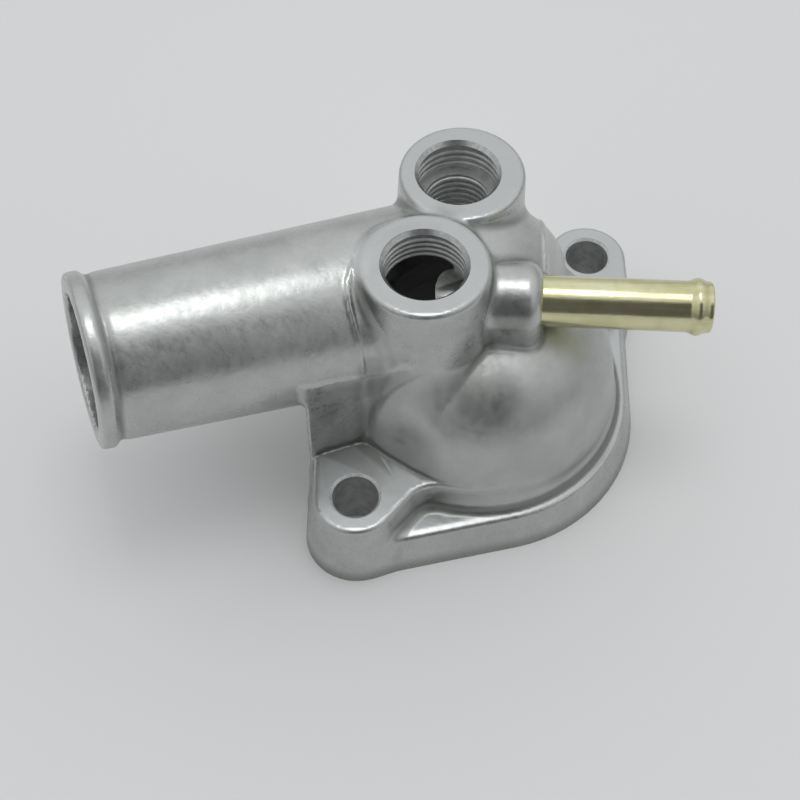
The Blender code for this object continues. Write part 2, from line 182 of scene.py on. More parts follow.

# Patches of painted shade and painted reflection on the skin, as middle, reach and strength: a dark
# reflection on the dome's front, and shade on the nipple boss's side, in the fold beside the parting line
# and on the inner end of the nipple's boss
PAINTED_SHADE_PATCHES = (
    ((0.3, -18.0, 34.6), 8.0, 0.5),
    ((4.6, -8.8, 45.4), 4.6, 0.6),
    ((-21.6, -9.6, 50.6), 3.2, 0.45),
    ((-21.4, -13.0, 46.0), 3.4, 0.45),
    ((-20.9, -15.6, 39.0), 3.6, 0.4),
    ((-5.0, -2.6, 43.0), 7.0, 0.55),
)

# Heights of the flat faces, which are milled clean
FLAT_LEVELS = (RIM_HEIGHT, EAR_HEIGHT, REAR_PORT_HEIGHT, FRONT_PORT_HEIGHT)

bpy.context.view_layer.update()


# Directions and places shared by several forms

def level(angle):
    return np.array([math.cos(angle), math.sin(angle), 0.0])


BOLT_LINE = level(BOLT_LINE_ANGLE)
BOLT_CENTRES = {"front": -BOLT_LINE * BOLT_SPACING / 2, "rear": BOLT_LINE * BOLT_SPACING / 2}
PIPE_LEVEL = -level(PIPE_TURN)
PIPE_START = np.array([PIPE_LEVEL[1], -PIPE_LEVEL[0], 0]) * PIPE_OFFSET + np.array([0, 0, PIPE_AXIS_HEIGHT])
PIPE_AXIS = PIPE_LEVEL * math.cos(PIPE_TILT) + np.array([0, 0, math.sin(PIPE_TILT)])
NIPPLE_START = np.array([0, -NIPPLE_OFFSET, NIPPLE_HEIGHT])
NIPPLE_AXIS = level(-NIPPLE_TURN)
THROAT_OUT = np.array([math.sin(PIPE_TURN), -math.cos(PIPE_TURN), 0])
DOME_WALL_OUT = np.array([math.sin(BOLT_WALL_ANGLE), -math.cos(BOLT_WALL_ANGLE), 0])
THROAT_WALL_SPOT = THROAT_OUT * THROAT_WALL_DISTANCE + [0, 0, EAR_HEIGHT]
BOLT_WALL_SPOT = DOME_WALL_OUT * BOLT_WALL_DISTANCE + [0, 0, EAR_HEIGHT]


# The casting's forms, as signed distances in millimetres: negative inside a form, positive outside

def filleted(a, b, radius):
    """Two forms joined, with a round fillet in the corner between them."""
    near_a = np.maximum(radius - a, 0)
    near_b = np.maximum(radius - b, 0)
    return np.maximum(radius, np.minimum(a, b)) - np.hypot(near_a, near_b)


def edged(a, b, radius):
    """What two forms share, with the edge between them rounded."""
    return -filleted(-a, -b, radius)


def cut(a, b, radius):
    """The first form less the second, with a rounded edge."""
    return edged(a, -b, radius)


def plane(x, y, z, point, normal):
    return (x - point[0]) * normal[0] + (y - point[1]) * normal[1] + (z - point[2]) * normal[2]


def from_axis(x, y, z, start, axis):
    """How far along an axis each point lies, and how far from it."""
    along = plane(x, y, z, start, axis)
    square = (x - start[0]) ** 2 + (y - start[1]) ** 2 + (z - start[2]) ** 2
    return along, np.sqrt(np.maximum(square - along * along, 0))


def leaning(outwards, lean):
    return outwards * math.cos(lean) + np.array([0, 0, math.sin(lean)])


def flange_flat(x, y):
    """Seen from above: a large circle at the origin, wrapped together with a small one at each bolt."""
    along = np.abs(x * BOLT_LINE[0] + y * BOLT_LINE[1])
    across = np.abs(y * BOLT_LINE[0] - x * BOLT_LINE[1])
    reach = BOLT_SPACING / 2
    slope = (RIM_RADIUS - RIM_END_RADIUS) / reach
    rise = math.sqrt(1 - slope * slope)
    side = across * slope * -1 + along * rise
    flank = across * rise + along * slope - RIM_RADIUS
    big = np.hypot(along, across) - RIM_RADIUS
    small = np.hypot(along - reach, across) - RIM_END_RADIUS
    return np.where(side < 0, big, np.where(side > reach * rise, small, flank))


def rim_form(x, y, z):
    flat = flange_flat(x, y)
    side = flat - RIM_SPREAD * (1 - z / RIM_HEIGHT)
    past = np.maximum(flat + RIM_STRIP_WIDTH + RIM_STRIP_BEND / 2, 0)
    bending = past ** 2 / (2 * RIM_STRIP_BEND)
    drop = np.where(past < RIM_STRIP_BEND, bending, past - RIM_STRIP_BEND / 2)
    return edged(side, z - RIM_HEIGHT + RIM_STRIP_SLOPE * drop, RIM_EDGE)


def capsule_flat(x, y, start, end, radius):
    run = end - start
    part = ((x - start[0]) * run[0] + (y - start[1]) * run[1]) / (run @ run)
    part = np.clip(part, 0, 1)
    return np.hypot(x - start[0] - part * run[0], y - start[1] - part * run[1]) - radius


def ear_form(x, y, z, turn):
    """A bolt's pad, swept into the dome's foot on one side and ending at the throat wall's line."""
    u, v = x * turn, y * turn
    centre = BOLT_CENTRES["front"][:2]
    to_dome = capsule_flat(u, v, centre, centre * 0.45, EAR_RADIUS)
    to_throat = capsule_flat(u, v, centre, centre + np.array([0, 14.0]), EAR_RADIUS)
    wall_line = THROAT_WALL_DISTANCE - (EAR_INTO_THROAT if turn == 1 else 0)
    past_wall = wall_line - u * THROAT_OUT[0] - v * THROAT_OUT[1]
    side = np.minimum(to_dome, edged(to_throat, past_wall, EAR_EDGE))
    dome_foot = np.hypot(x, y) - DOME_FOOT_RADIUS + 0.35 * np.clip((side - 3) / 6, 0, 3)
    side = filleted(side, dome_foot, EAR_TO_DOME) - EAR_SPREAD * (1 - z / EAR_HEIGHT)
    return edged(side, z - EAR_HEIGHT, EAR_EDGE)


def shoulder_form(r, z, inset):
    """The dome's leaning side, its round shoulder and its flat crown, drawn inwards by the inset."""
    centre_height = DOME_HEIGHT - DOME_SHOULDER_RADIUS
    lean_radius = DOME_FOOT_RADIUS - (
        centre_height + DOME_SHOULDER_RADIUS * math.sin(DOME_SIDE_LEAN) - DOME_FOOT_HEIGHT
    ) * math.tan(DOME_SIDE_LEAN)
    centre_radius = lean_radius - DOME_SHOULDER_RADIUS * math.cos(DOME_SIDE_LEAN)
    out, up = r - centre_radius, z - centre_height
    normal = out * math.cos(DOME_SIDE_LEAN) + up * math.sin(DOME_SIDE_LEAN)
    tangent = up * math.cos(DOME_SIDE_LEAN) - out * math.sin(DOME_SIDE_LEAN)
    shoulder = np.where(out < 0, up, np.hypot(out, up))
    return np.where(tangent < 0, normal, shoulder) - DOME_SHOULDER_RADIUS + inset


def dome_form(x, y, z):
    r = np.hypot(x, y)
    return edged(shoulder_form(r, z, 0), r - DOME_FOOT_RADIUS, SOFT_EDGE * 2)


def throat_form(x, y, z):
    front = plane(x, y, z, THROAT_WALL_SPOT, leaning(THROAT_OUT, THROAT_WALL_LEAN))
    back = plane(x, y, z, PIPE_START - THROAT_OUT * (THROAT_WALL_DISTANCE + PIPE_OFFSET), -THROAT_OUT)
    left = -THROAT_LEFT - x
    right = x
    top = plane(x, y, z, PIPE_START, np.array([0, 0, 1.0]) - PIPE_AXIS * PIPE_AXIS[2])
    sides = edged(np.maximum(front, back), left, SOFT_EDGE)
    return np.maximum(np.maximum(sides, right), top)


def pocket_form(x, y, z, turn):
    """The room for a bolt's head above its ear, bounded by the throat's wall and the leaning one."""
    u, v = x * turn, y * turn
    throat_side = plane(u, v, z, THROAT_WALL_SPOT, leaning(THROAT_OUT, THROAT_WALL_LEAN))
    dome_side = plane(u, v, z, BOLT_WALL_SPOT, leaning(DOME_WALL_OUT, BOLT_WALL_LEAN))
    return np.maximum(np.maximum(-throat_side, -dome_side), EAR_HEIGHT - z)


def pipe_form(x, y, z):
    along, r = from_axis(x, y, z, PIPE_START, PIPE_AXIS)
    back = PIPE_REACH - along
    outside = PIPE_RADIUS + back * math.tan(PIPE_DRAFT)
    crest = (back - 0.45 * BEAD_LENGTH) / (0.5 * BEAD_LENGTH)
    bead = BEAD_HEIGHT * np.exp(-crest ** 4)
    groove = GROOVE_DEPTH * np.exp(-((back - 1.15 * BEAD_LENGTH) / (0.25 * BEAD_LENGTH)) ** 2)
    side = (r - outside - bead + groove) * math.cos(PIPE_DRAFT)
    tube = edged(side, -back, FINE_EDGE)
    end_radius = PIPE_RADIUS + (PIPE_REACH - PIPE_END_BEFORE_AXIS) * math.tan(PIPE_DRAFT)
    past = PIPE_END_BEFORE_AXIS - along
    share = np.sqrt((past / PIPE_END_LENGTH) ** 2 + (r / end_radius) ** 2)
    slope = np.sqrt((past / PIPE_END_LENGTH ** 2) ** 2 + (r / end_radius ** 2) ** 2)
    end = share * (share - 1) / np.maximum(slope, 1e-6)
    return np.where(past > 0, end, tube)


def port_form(x, y, z, spot, height, draft):
    r = np.hypot(x - spot[0], y - spot[1])
    side = (r - PORT_TOP_RADIUS - (height - z) * math.tan(draft)) * math.cos(draft)
    return edged(side, z - height, 1.0)


def nipple_boss_form(x, y, z):
    """A round top over straight sides, which run down into the dome so that the die draws off them."""
    along, r = from_axis(x, y, z, NIPPLE_START, NIPPLE_AXIS)
    across = np.abs(plane(x, y, z, NIPPLE_START, np.array([-NIPPLE_AXIS[1], NIPPLE_AXIS[0], 0])))
    below = np.maximum(NIPPLE_HEIGHT - z, 0)
    side = np.where(z < NIPPLE_HEIGHT, across - below * 0.03, r) - NIPPLE_BOSS_RADIUS
    outer = edged(side, along - NIPPLE_BOSS_REACH - below * 0.03, NIPPLE_BOSS_EDGE)
    outer = np.maximum(outer, DOME_HEIGHT - DOME_SHOULDER_RADIUS - z)
    return np.maximum(outer, -along)


def inner_boss_form(x, y, z):
    along, r = from_axis(x, y, z, NIPPLE_START, NIPPLE_AXIS)
    edge = 0.6 * NIPPLE_BOSS_INNER_RADIUS
    inner = edged(r - NIPPLE_BOSS_INNER_RADIUS, -NIPPLE_BOSS_INNER_REACH - along, edge)
    return np.maximum(inner, along - NIPPLE_BOSS_REACH / 2)


def hollow_form(x, y, z):
    """The chamber, the pipe's bore and the cast hollow under the front port."""
    r = np.hypot(x, y)
    chamber = np.maximum(shoulder_form(r, z, DOME_WALL), r - DOME_FOOT_RADIUS + DOME_WALL)
    along, out = from_axis(x, y, z, PIPE_START, PIPE_AXIS)
    bore_radius = PIPE_BORE_RADIUS - (PIPE_REACH - along) * math.tan(PIPE_BORE_DRAFT)
    past = np.maximum(PIPE_END_BEFORE_AXIS - along, 0)
    bore = np.hypot(out, past * PIPE_BORE_RADIUS / PIPE_BORE_END_LENGTH) - bore_radius
    hollow = filleted(chamber, bore, FOOT_FILLET)
    front = np.hypot(x - FRONT_PORT[0], y - FRONT_PORT[1])
    core = edged(front - FRONT_CORE_RADIUS, z - FRONT_PORT_HEIGHT + FRONT_THREAD_DEPTH, SOFT_EDGE)
    core = np.maximum(core, DOME_HEIGHT - 2 * DOME_WALL - z)
    return np.minimum(hollow, core)


def parting_lift(x, y, z):
    """How far the casting stands proud along the die's parting lines."""
    bent = PIPE_PARTING_BEND * np.maximum(y - PIPE_PARTING_BEND_FROM, 0) ** 2
    across = x * PIPE_LEVEL[0] + y * PIPE_LEVEL[1] - PIPE_PARTING_REACH + bent
    from_port = np.hypot(x - FRONT_PORT[0], y - FRONT_PORT[1])
    clear = (z > EAR_HEIGHT + 0.4) & (from_port > PORT_TOP_RADIUS + 0.8)
    on_pipe = np.exp(-(across / PARTING_WIDTH) ** 2) * np.clip(-y / 4, 0, 1) * clear
    at_end = np.exp(-((x - END_PARTING_X) / PARTING_WIDTH) ** 2) * (z > 38) * (y > 4)
    return PARTING_HEIGHT * np.maximum(on_pipe, at_end)


def casting_form(x, y, z):
    body = filleted(dome_form(x, y, z), throat_form(x, y, z), FOOT_FILLET)
    for turn in (1, -1):
        body = cut(body, pocket_form(x, y, z, turn), 0.6)
    front = port_form(x, y, z, FRONT_PORT, FRONT_PORT_HEIGHT, FRONT_PORT_DRAFT)
    rear_spot = (REAR_PORT[0] + REAR_BOSS_SHIFT, REAR_PORT[1])
    rear = port_form(x, y, z, rear_spot, REAR_PORT_HEIGHT, REAR_PORT_DRAFT)
    crisp = np.clip((x + 9) / 7, 0, 1)
    body = filleted(body, front, BOSS_FILLET + (CREASE_FILLET - BOSS_FILLET) * crisp)
    upper = filleted(pipe_form(x, y, z), rear, FOOT_FILLET)
    body = filleted(body, upper, FOOT_FILLET)
    body = filleted(body, nipple_boss_form(x, y, z), CREASE_FILLET)
    flange = rim_form(x, y, z)
    fillet = FLANGE_FILLET + (PAD_FILLET - FLANGE_FILLET) * np.clip((z - RIM_HEIGHT - 2) / 3, 0, 1)
    for turn in (1, -1):
        flange = filleted(flange, ear_form(x, y, z, turn), fillet)
    body = filleted(body, flange, fillet) - parting_lift(x, y, z)
    body = cut(body, hollow_form(x, y, z), FINE_EDGE)
    body = np.minimum(body, inner_boss_form(x, y, z))
    return np.maximum(body, -z - BELOW_GASKET)


# From a field to a mesh

def surface_net(values):
    """Points and four-sided faces where a field on a grid changes sign, in grid units."""
    shape = np.array(values.shape)
    cells = shape - 1
    inside = values < 0
    touched, crossings, faces = [], [], []
    for axis in range(3):
        low = [slice(None)] * 3
        high = [slice(None)] * 3
        low[axis], high[axis] = slice(0, -1), slice(1, None)
        changes = inside[tuple(low)] != inside[tuple(high)]
        spots = np.argwhere(changes)
        first, second = [(axis + turn) % 3 for turn in (1, 2)]
        held = (spots[:, first] > 0) & (spots[:, second] > 0)
        held &= (spots[:, first] < cells[first]) & (spots[:, second] < cells[second])
        spots = spots[held]
        before = values[tuple(spots.T)]
        ahead = spots.copy()
        ahead[:, axis] += 1
        after = values[tuple(ahead.T)]
        place = spots.astype(np.float32)
        place[:, axis] += before / (before - after)
        corners = []
        for a, b in ((0, 0), (-1, 0), (-1, -1), (0, -1)):
            cell = spots.copy()
            cell[:, first] += a
            cell[:, second] += b
            corners.append(np.ravel_multi_index(cell.T, cells))
        corners = np.stack(corners, 1)
        corners = np.where((before < 0)[:, None], corners, corners[:, ::-1])
        faces.append(corners)
        touched.append(corners.ravel())
        crossings.append(np.repeat(place, 4, axis=0))
    touched = np.concatenate(touched)
    crossings = np.concatenate(crossings)
    used, index = np.unique(touched, return_inverse=True)
    count = np.bincount(index)
    points = np.stack([np.bincount(index, weights=crossings[:, k]) / count for k in range(3)], 1)
    return points, index.reshape(-1, 4)


def sampled(form, low, high, step):
    axes = [np.arange(a, b + step, step, dtype=np.float32) for a, b in zip(low, high)]
    y, z = axes[1][None, :, None], axes[2][None, None, :]
    slabs = [form(part[:, None, None], y, z).astype(np.float32) for part in np.array_split(axes[0], 12)]
    return np.concatenate([np.broadcast_to(s, (s.shape[0], len(axes[1]), len(axes[2]))) for s in slabs])


def gradient(form, points, reach=0.02):
    out = []
    for k in range(3):
        step = np.zeros(3)
        step[k] = reach
        ahead, behind = (points + step).T, (points - step).T
        out.append((form(*ahead) - form(*behind)) / (2 * reach))
    return np.stack(out, 1)


def settled(form, points, most):
    """Points moved onto the form's surface, by no more than a given distance a turn."""
    for _ in range(3):
        value = form(*points.T)
        slope = gradient(form, points)
        size = np.maximum((slope ** 2).sum(1), 0.2)
        move = -slope * (value / size)[:, None]
        length = np.linalg.norm(move, axis=1, keepdims=True)
        points = points + move * np.minimum(1, most / np.maximum(length, 1e-9))
    return points


def mesh_of(name, points, faces):
    mesh = bpy.data.meshes.new(name)
    mesh.from_pydata((points * MM).tolist(), [], faces)
    mesh.update()
    return mesh


def new_piece(name, mesh):
    piece = bpy.data.objects.new(name, mesh)
    bpy.context.scene.collection.objects.link(piece)
    return piece


def settle_modifiers(piece):
    """The piece as its modifiers leave it, as a plain mesh with no modifiers."""
    bpy.context.view_layer.update()
    graph = bpy.context.evaluated_depsgraph_get()
    made = bpy.data.meshes.new_from_object(piece.evaluated_get(graph))
    piece.modifiers.clear()
    piece.data = made
    return piece


def turned_mesh(name, profile, start, axis, segments):
    """A closed turned solid in millimetres. The profile is (along, radius) pairs, from end to end."""
    across = np.cross(axis, [0, 0, 1.0] if abs(axis[2]) < 0.9 else [1.0, 0, 0])
    across = across / np.linalg.norm(across)
    third = np.cross(axis, across)
    turns = np.arange(segments) * 2 * math.pi / segments
    spokes = np.cos(turns)[:, None] * across + np.sin(turns)[:, None] * third
    rings = [start + along * axis + radius * spokes for along, radius in profile]
    points = np.concatenate(rings + [[start + profile[0][0] * axis, start + profile[-1][0] * axis]])
    here = np.arange(segments)
    after = (here + 1) % segments
    faces = []
    for ring in range(len(profile) - 1):
        low, high = ring * segments, (ring + 1) * segments
        faces += np.stack([low + here, low + after, high + after, high + here], 1).tolist()
    first, last = len(points) - 2, len(points) - 1
    top = (len(profile) - 1) * segments
    faces += np.stack([np.full(segments, first), after, here], 1).tolist()
    faces += np.stack([np.full(segments, last), top + here, top + after], 1).tolist()
    return closed_mesh(name, points, faces)


def closed_mesh(name, points, faces):
    """A mesh whose faces all look outwards."""
    mesh = mesh_of(name, points, faces)
    look_outwards(mesh)
    return mesh


def look_outwards(mesh):
    shape = bmesh.new()
    shape.from_mesh(mesh)
    bmesh.ops.recalc_face_normals(shape, faces=shape.faces)
    shape.to_mesh(mesh)
    shape.free()


def bored(piece, name, profile, start, axis, segments=96, chamfer=CUT, end=CUT):
    """The piece with a turned hole cut in it, and the finishes of the hole's chamfers and flat ends."""
    shape = turned_mesh(name, profile, np.array(start, float), np.array(axis, float), segments)
    cutter = new_piece(name, shape)
    for material in piece.data.materials:
        cutter.data.materials.append(material)
    slopes = np.empty(len(cutter.data.polygons) * 3)
    cutter.data.polygons.foreach_get("normal", slopes)
    rise = np.abs(slopes.reshape(-1, 3)[:, 2])
    finishes = np.where(rise > 0.98, end, np.where(rise > 0.2, chamfer, CUT))
    cutter.data.polygons.foreach_set("material_index", finishes.astype(np.int32))
    boolean = piece.modifiers.new(name, "BOOLEAN")
    boolean.operation = "DIFFERENCE"
    boolean.solver = "MANIFOLD"
    boolean.object = cutter
    settle_modifiers(piece)
    bpy.data.objects.remove(cutter)
    return piece


UP = (0, 0, 1)


def port_mouth(height):
    """The chamfered way into a thread: past the face, then down a cone to the thread's crests."""
    cone = height - PORT_CHAMFER_DEPTH
    mouth = [(height + 2, PORT_MOUTH_RADIUS), (height, PORT_MOUTH_RADIUS), (cone, THREAD_CREST_RADIUS)]
    return mouth + [(height - FIRST_ROOT_DEPTH, THREAD_RADIUS)]


def machined(piece):
    """The casting with its faces milled and its holes drilled, bored and chamfered."""
    below = -BELOW_GASKET - 2
    bored(piece, "gasket_face", [(below, 60), (0, 60)], (0, 0, 0), UP, 48)
    bored(piece, "seat_recess", [(below, SEAT_RADIUS), (SEAT_DEPTH, SEAT_RADIUS)], (0, 0, 0), UP, 180)
    for name, centre in BOLT_CENTRES.items():
        mouth = BOLT_HOLE_RADIUS + BOLT_HOLE_CHAMFER
        hole = [(below, BOLT_HOLE_RADIUS), (EAR_HEIGHT - BOLT_HOLE_CHAMFER, BOLT_HOLE_RADIUS)]
        hole += [(EAR_HEIGHT, mouth), (EAR_HEIGHT + 2, mouth)]
        bored(piece, "bolt_hole_" + name, hole, centre, UP, chamfer=BRIGHT_EDGE)
    core_top = FRONT_PORT_HEIGHT - FRONT_THREAD_DEPTH
    front = port_mouth(FRONT_PORT_HEIGHT) + [(core_top - FRONT_CORE_OVERLAP, THREAD_RADIUS)]
    bored(piece, "front_port", front, (*FRONT_PORT, 0), UP, chamfer=TURNED, end=AS_CAST)
    ledge = REAR_PORT_HEIGHT - REAR_THREAD_DEPTH
    rear = port_mouth(REAR_PORT_HEIGHT) + [(ledge, THREAD_RADIUS)]
    rear += [(ledge, REAR_DRILL_RADIUS), (PIPE_AXIS_HEIGHT, REAR_DRILL_RADIUS)]
    bored(piece, "rear_port", rear, (*REAR_PORT, 0), UP, chamfer=TURNED)
    seat = NIPPLE_RADIUS + NIPPLE_SEAT_GAP
    bottom = NIPPLE_BOSS_REACH - NIPPLE_SEAT_DEPTH
    mouth = NIPPLE_BOSS_REACH
    nipple = [(-NIPPLE_BOSS_INNER_REACH - 2, NIPPLE_DRILL_RADIUS), (bottom, NIPPLE_DRILL_RADIUS)]
    nipple += [(bottom, seat), (mouth - 0.3, seat), (mouth + 0.3, seat + 0.6), (mouth + 2, seat + 0.6)]
    bored(piece, "nipple_seat", nipple, NIPPLE_START, NIPPLE_AXIS)
    return piece


def casting_body():
    low = np.array(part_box("housing_casting")[0]) / MM - 1.5
    high = np.array(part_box("housing_casting")[1]) / MM + 1.5
    values = sampled(casting_form, low, high, FIELD_STEP)
    points, faces = surface_net(values)
    points = points * FIELD_STEP + low
    points = settled(casting_form, points, 0.3 * FIELD_STEP)
    piece = new_piece("casting_body", mesh_of("casting_body", points, faces.tolist()))
    triangles = 2 * len(faces)
    if triangles > CASTING_TRIANGLES:
        thin = piece.modifiers.new("Thin", "DECIMATE")
        thin.ratio = CASTING_TRIANGLES / triangles
        settle_modifiers(piece)
    for material in (aluminium, cut_metal, turned_metal, edge_metal):
        piece.data.materials.append(material)
    machined(piece)
    mark_surfaces(piece)
    return piece


def mark_surfaces(piece):
    """Marks each point by how sharp its edge or how deep its corner is, and whether it is on a flat face."""
    mesh = piece.data
    points = np.empty(len(mesh.vertices) * 3)
    mesh.vertices.foreach_get("co", points)
    points = points.reshape(-1, 3) / MM
    value = casting_form(*points.T)
    for name, reach in (("fine", 0.5), ("broad", 1.6)):
        total = -6 * value
        for k in range(3):
            for side in (-reach, reach):
                step = np.zeros(3)
                step[k] = side
                total = total + casting_form(*(points + step).T)
        bend = np.clip(total / reach, -3, 3)
        bend[np.abs(value) > 0.1] = 0
        write_marks(mesh, "bend_" + name, bend)
    slope = gradient(casting_form, points, 0.05)
    slope /= np.maximum(np.linalg.norm(slope, axis=1, keepdims=True), 1e-6)
    gap = np.min([np.abs(points[:, 2] - height) for height in FLAT_LEVELS], axis=0)
    ports = np.min([np.hypot(*(points[:, :2] - spot).T) for spot in (FRONT_PORT, REAR_PORT)], axis=0)
    own_face = (points[:, 2] < EAR_HEIGHT + 1) | (ports < PORT_TOP_RADIUS + 0.6)
    milled = (gap < 0.6) & (np.abs(value) < 0.1) & own_face
    write_marks(mesh, "flat", np.clip((slope[:, 2] - 0.9) / 0.07, 0, 1) * milled)
    mesh.shade_smooth()
    mesh.set_sharp_from_angle(angle=math.radians(38))
    shade_by_form(mesh, slope)


def shade_by_form(mesh, slope):
    """Shades the cast faces by the form's own slope, and leaves the cut ones as they are."""
    normals = np.empty(len(mesh.loops) * 3, np.float32)
    mesh.corner_normals.foreach_get("vector", normals)
    normals = normals.reshape(-1, 3)
    corners = np.empty(len(mesh.loops), np.int32)
    mesh.loops.foreach_get("vertex_index", corners)
    metal = np.empty(len(mesh.polygons), np.int32)
    mesh.polygons.foreach_get("material_index", metal)
    sides = np.empty(len(mesh.polygons), np.int32)
    mesh.polygons.foreach_get("loop_total", sides)
    drawn = slope[corners]
    follows = (np.repeat(metal, sides) == AS_CAST) & ((drawn * normals).sum(1) > 0.7)
    normals[follows] = drawn[follows]
    mesh.normals_split_custom_set(normals.tolist())


def write_marks(mesh, name, values):
    layer = mesh.attributes.new(name, "FLOAT", "POINT")
    layer.data.foreach_set("value", values.astype(np.float32))


# Thread ridges and the nipple

def wire(tree, source, target):
    tree.links.new(source, target)


def thread_ridge(name, spot, top, depth, pitch, root, crest, material):
    """A ridge that winds down the wall of a threaded hole, drawn by a node tree along a spiral."""
    tree = bpy.data.node_groups.new(name, "GeometryNodeTree")
    tree.interface.new_socket("Geometry", in_out="OUTPUT", socket_type="NodeSocketGeometry")
    for socket, kind, value in (
        ("Root radius", "NodeSocketFloat", root * MM),
        ("Turns", "NodeSocketFloat", depth / pitch),
        ("Depth", "NodeSocketFloat", depth * MM),
    ):
        made = tree.interface.new_socket(socket, in_out="INPUT", socket_type=kind)
        made.default_value = value
    nodes = tree.nodes
    inputs, output = nodes.new("NodeGroupInput"), nodes.new("NodeGroupOutput")
    spiral = nodes.new("GeometryNodeCurveSpiral")
    spiral.inputs["Resolution"].default_value = 72
    wire(tree, inputs.outputs["Turns"], spiral.inputs["Rotations"])
    wire(tree, inputs.outputs["Root radius"], spiral.inputs["Start Radius"])
    wire(tree, inputs.outputs["Root radius"], spiral.inputs["End Radius"])
    wire(tree, inputs.outputs["Depth"], spiral.inputs["Height"])
    normal = nodes.new("GeometryNodeSetCurveNormal")
    normal.mode = "Z_UP"
    wire(tree, spiral.outputs["Curve"], normal.inputs["Curve"])
    section = nodes.new("GeometryNodeCurvePrimitiveQuadrilateral")
    section.mode = "POINTS"
    high, half = (root - crest) * MM, pitch / 2 * MM
    corners = ((-0.15 * MM, -half), (high, -half * 0.14), (high, half * 0.14), (-0.15 * MM, half))
    for number, (inwards, up) in enumerate(corners, 1):
        section.inputs["Point %d" % number].default_value = (inwards, up, 0)
    sweep = nodes.new("GeometryNodeCurveToMesh")
    sweep.inputs["Fill Caps"].default_value = True
    wire(tree, normal.outputs["Curve"], sweep.inputs["Curve"])
    wire(tree, section.outputs["Curve"], sweep.inputs["Profile Curve"])
    realise = nodes.new("GeometryNodeRealizeInstances")
    wire(tree, sweep.outputs["Mesh"], realise.inputs["Geometry"])
    paint = nodes.new("GeometryNodeSetMaterial")
    paint.inputs["Material"].default_value = material
    wire(tree, realise.outputs["Geometry"], paint.inputs["Geometry"])
    wire(tree, paint.outputs["Geometry"], output.inputs["Geometry"])
    piece = new_piece(name, bpy.data.meshes.new(name))
    grow = piece.modifiers.new("Thread", "NODES")
    grow.node_group = tree
    settle_modifiers(piece)
    shift = np.array([spot[0], spot[1], top - depth])
    piece.data.transform(Matrix.Translation(Vector(shift * MM)))
    look_outwards(piece.data)
    return piece


def hose_tube():
    """The plated tube with its rolled bead and rounded lips, from its seat in the boss to its free end."""
    end, lip = NIPPLE_REACH, 0.35
    bottom = NIPPLE_BOSS_REACH - NIPPLE_SEAT_DEPTH + 0.05
    middle, half = end - NIPPLE_BEAD_SETBACK, NIPPLE_BEAD_WIDTH / 2
    profile = [(bottom, NIPPLE_BORE_RADIUS + 0.2), (bottom, NIPPLE_RADIUS - 0.3)]
    profile.append((bottom + 0.3, NIPPLE_RADIUS))
    profile += [(NIPPLE_BOSS_REACH + step, NIPPLE_RADIUS) for step in (-0.5, 0.5, 2.0, 6.0, 12.0, 20.0)]
    for step in range(17):
        turn = math.pi * (step / 8 - 1)
        swell = NIPPLE_BEAD_HEIGHT * (1 + math.cos(turn)) / 2
        profile.append((middle + half * step / 8 - half, NIPPLE_RADIUS + swell))
    for step in range(7):
        turn = math.pi / 2 * step / 6
        profile.append((end - lip + lip * math.sin(turn), NIPPLE_RADIUS - lip + lip * math.cos(turn)))
    for step in range(6):
        turn = math.pi / 2 * step / 5
        profile.append((end - 0.25 * math.sin(turn), NIPPLE_BORE_RADIUS + 0.25 * math.cos(turn)))
    profile += [(end - step, NIPPLE_BORE_RADIUS) for step in (1, 3, 8, 16, 26)]
    profile.append((bottom, NIPPLE_BORE_RADIUS))
    return profile


def ring_mesh(name, profile, start, axis, segments):
    """A turned solid with a hole along its axis: the profile is a closed loop of (along, radius) pairs."""
    across = np.cross(axis, [0, 0, 1.0])
    across = across / np.linalg.norm(across)
    third = np.cross(axis, across)
    turns = np.arange(segments) * 2 * math.pi / segments
    spokes = np.cos(turns)[:, None] * across + np.sin(turns)[:, None] * third
    points = np.concatenate([start + along * axis + radius * spokes for along, radius in profile])
    here = np.arange(segments)
    after = (here + 1) % segments
    faces = []
    for ring in range(len(profile)):
        low, high = ring * segments, (ring + 1) % len(profile) * segments
        faces += np.stack([low + here, low + after, high + after, high + here], 1).tolist()
    mesh = closed_mesh(name, points, faces)
    mesh.shade_smooth()
    mesh.set_sharp_from_angle(angle=math.radians(38))
    return mesh


# Materials, written as plain maths on shader sockets

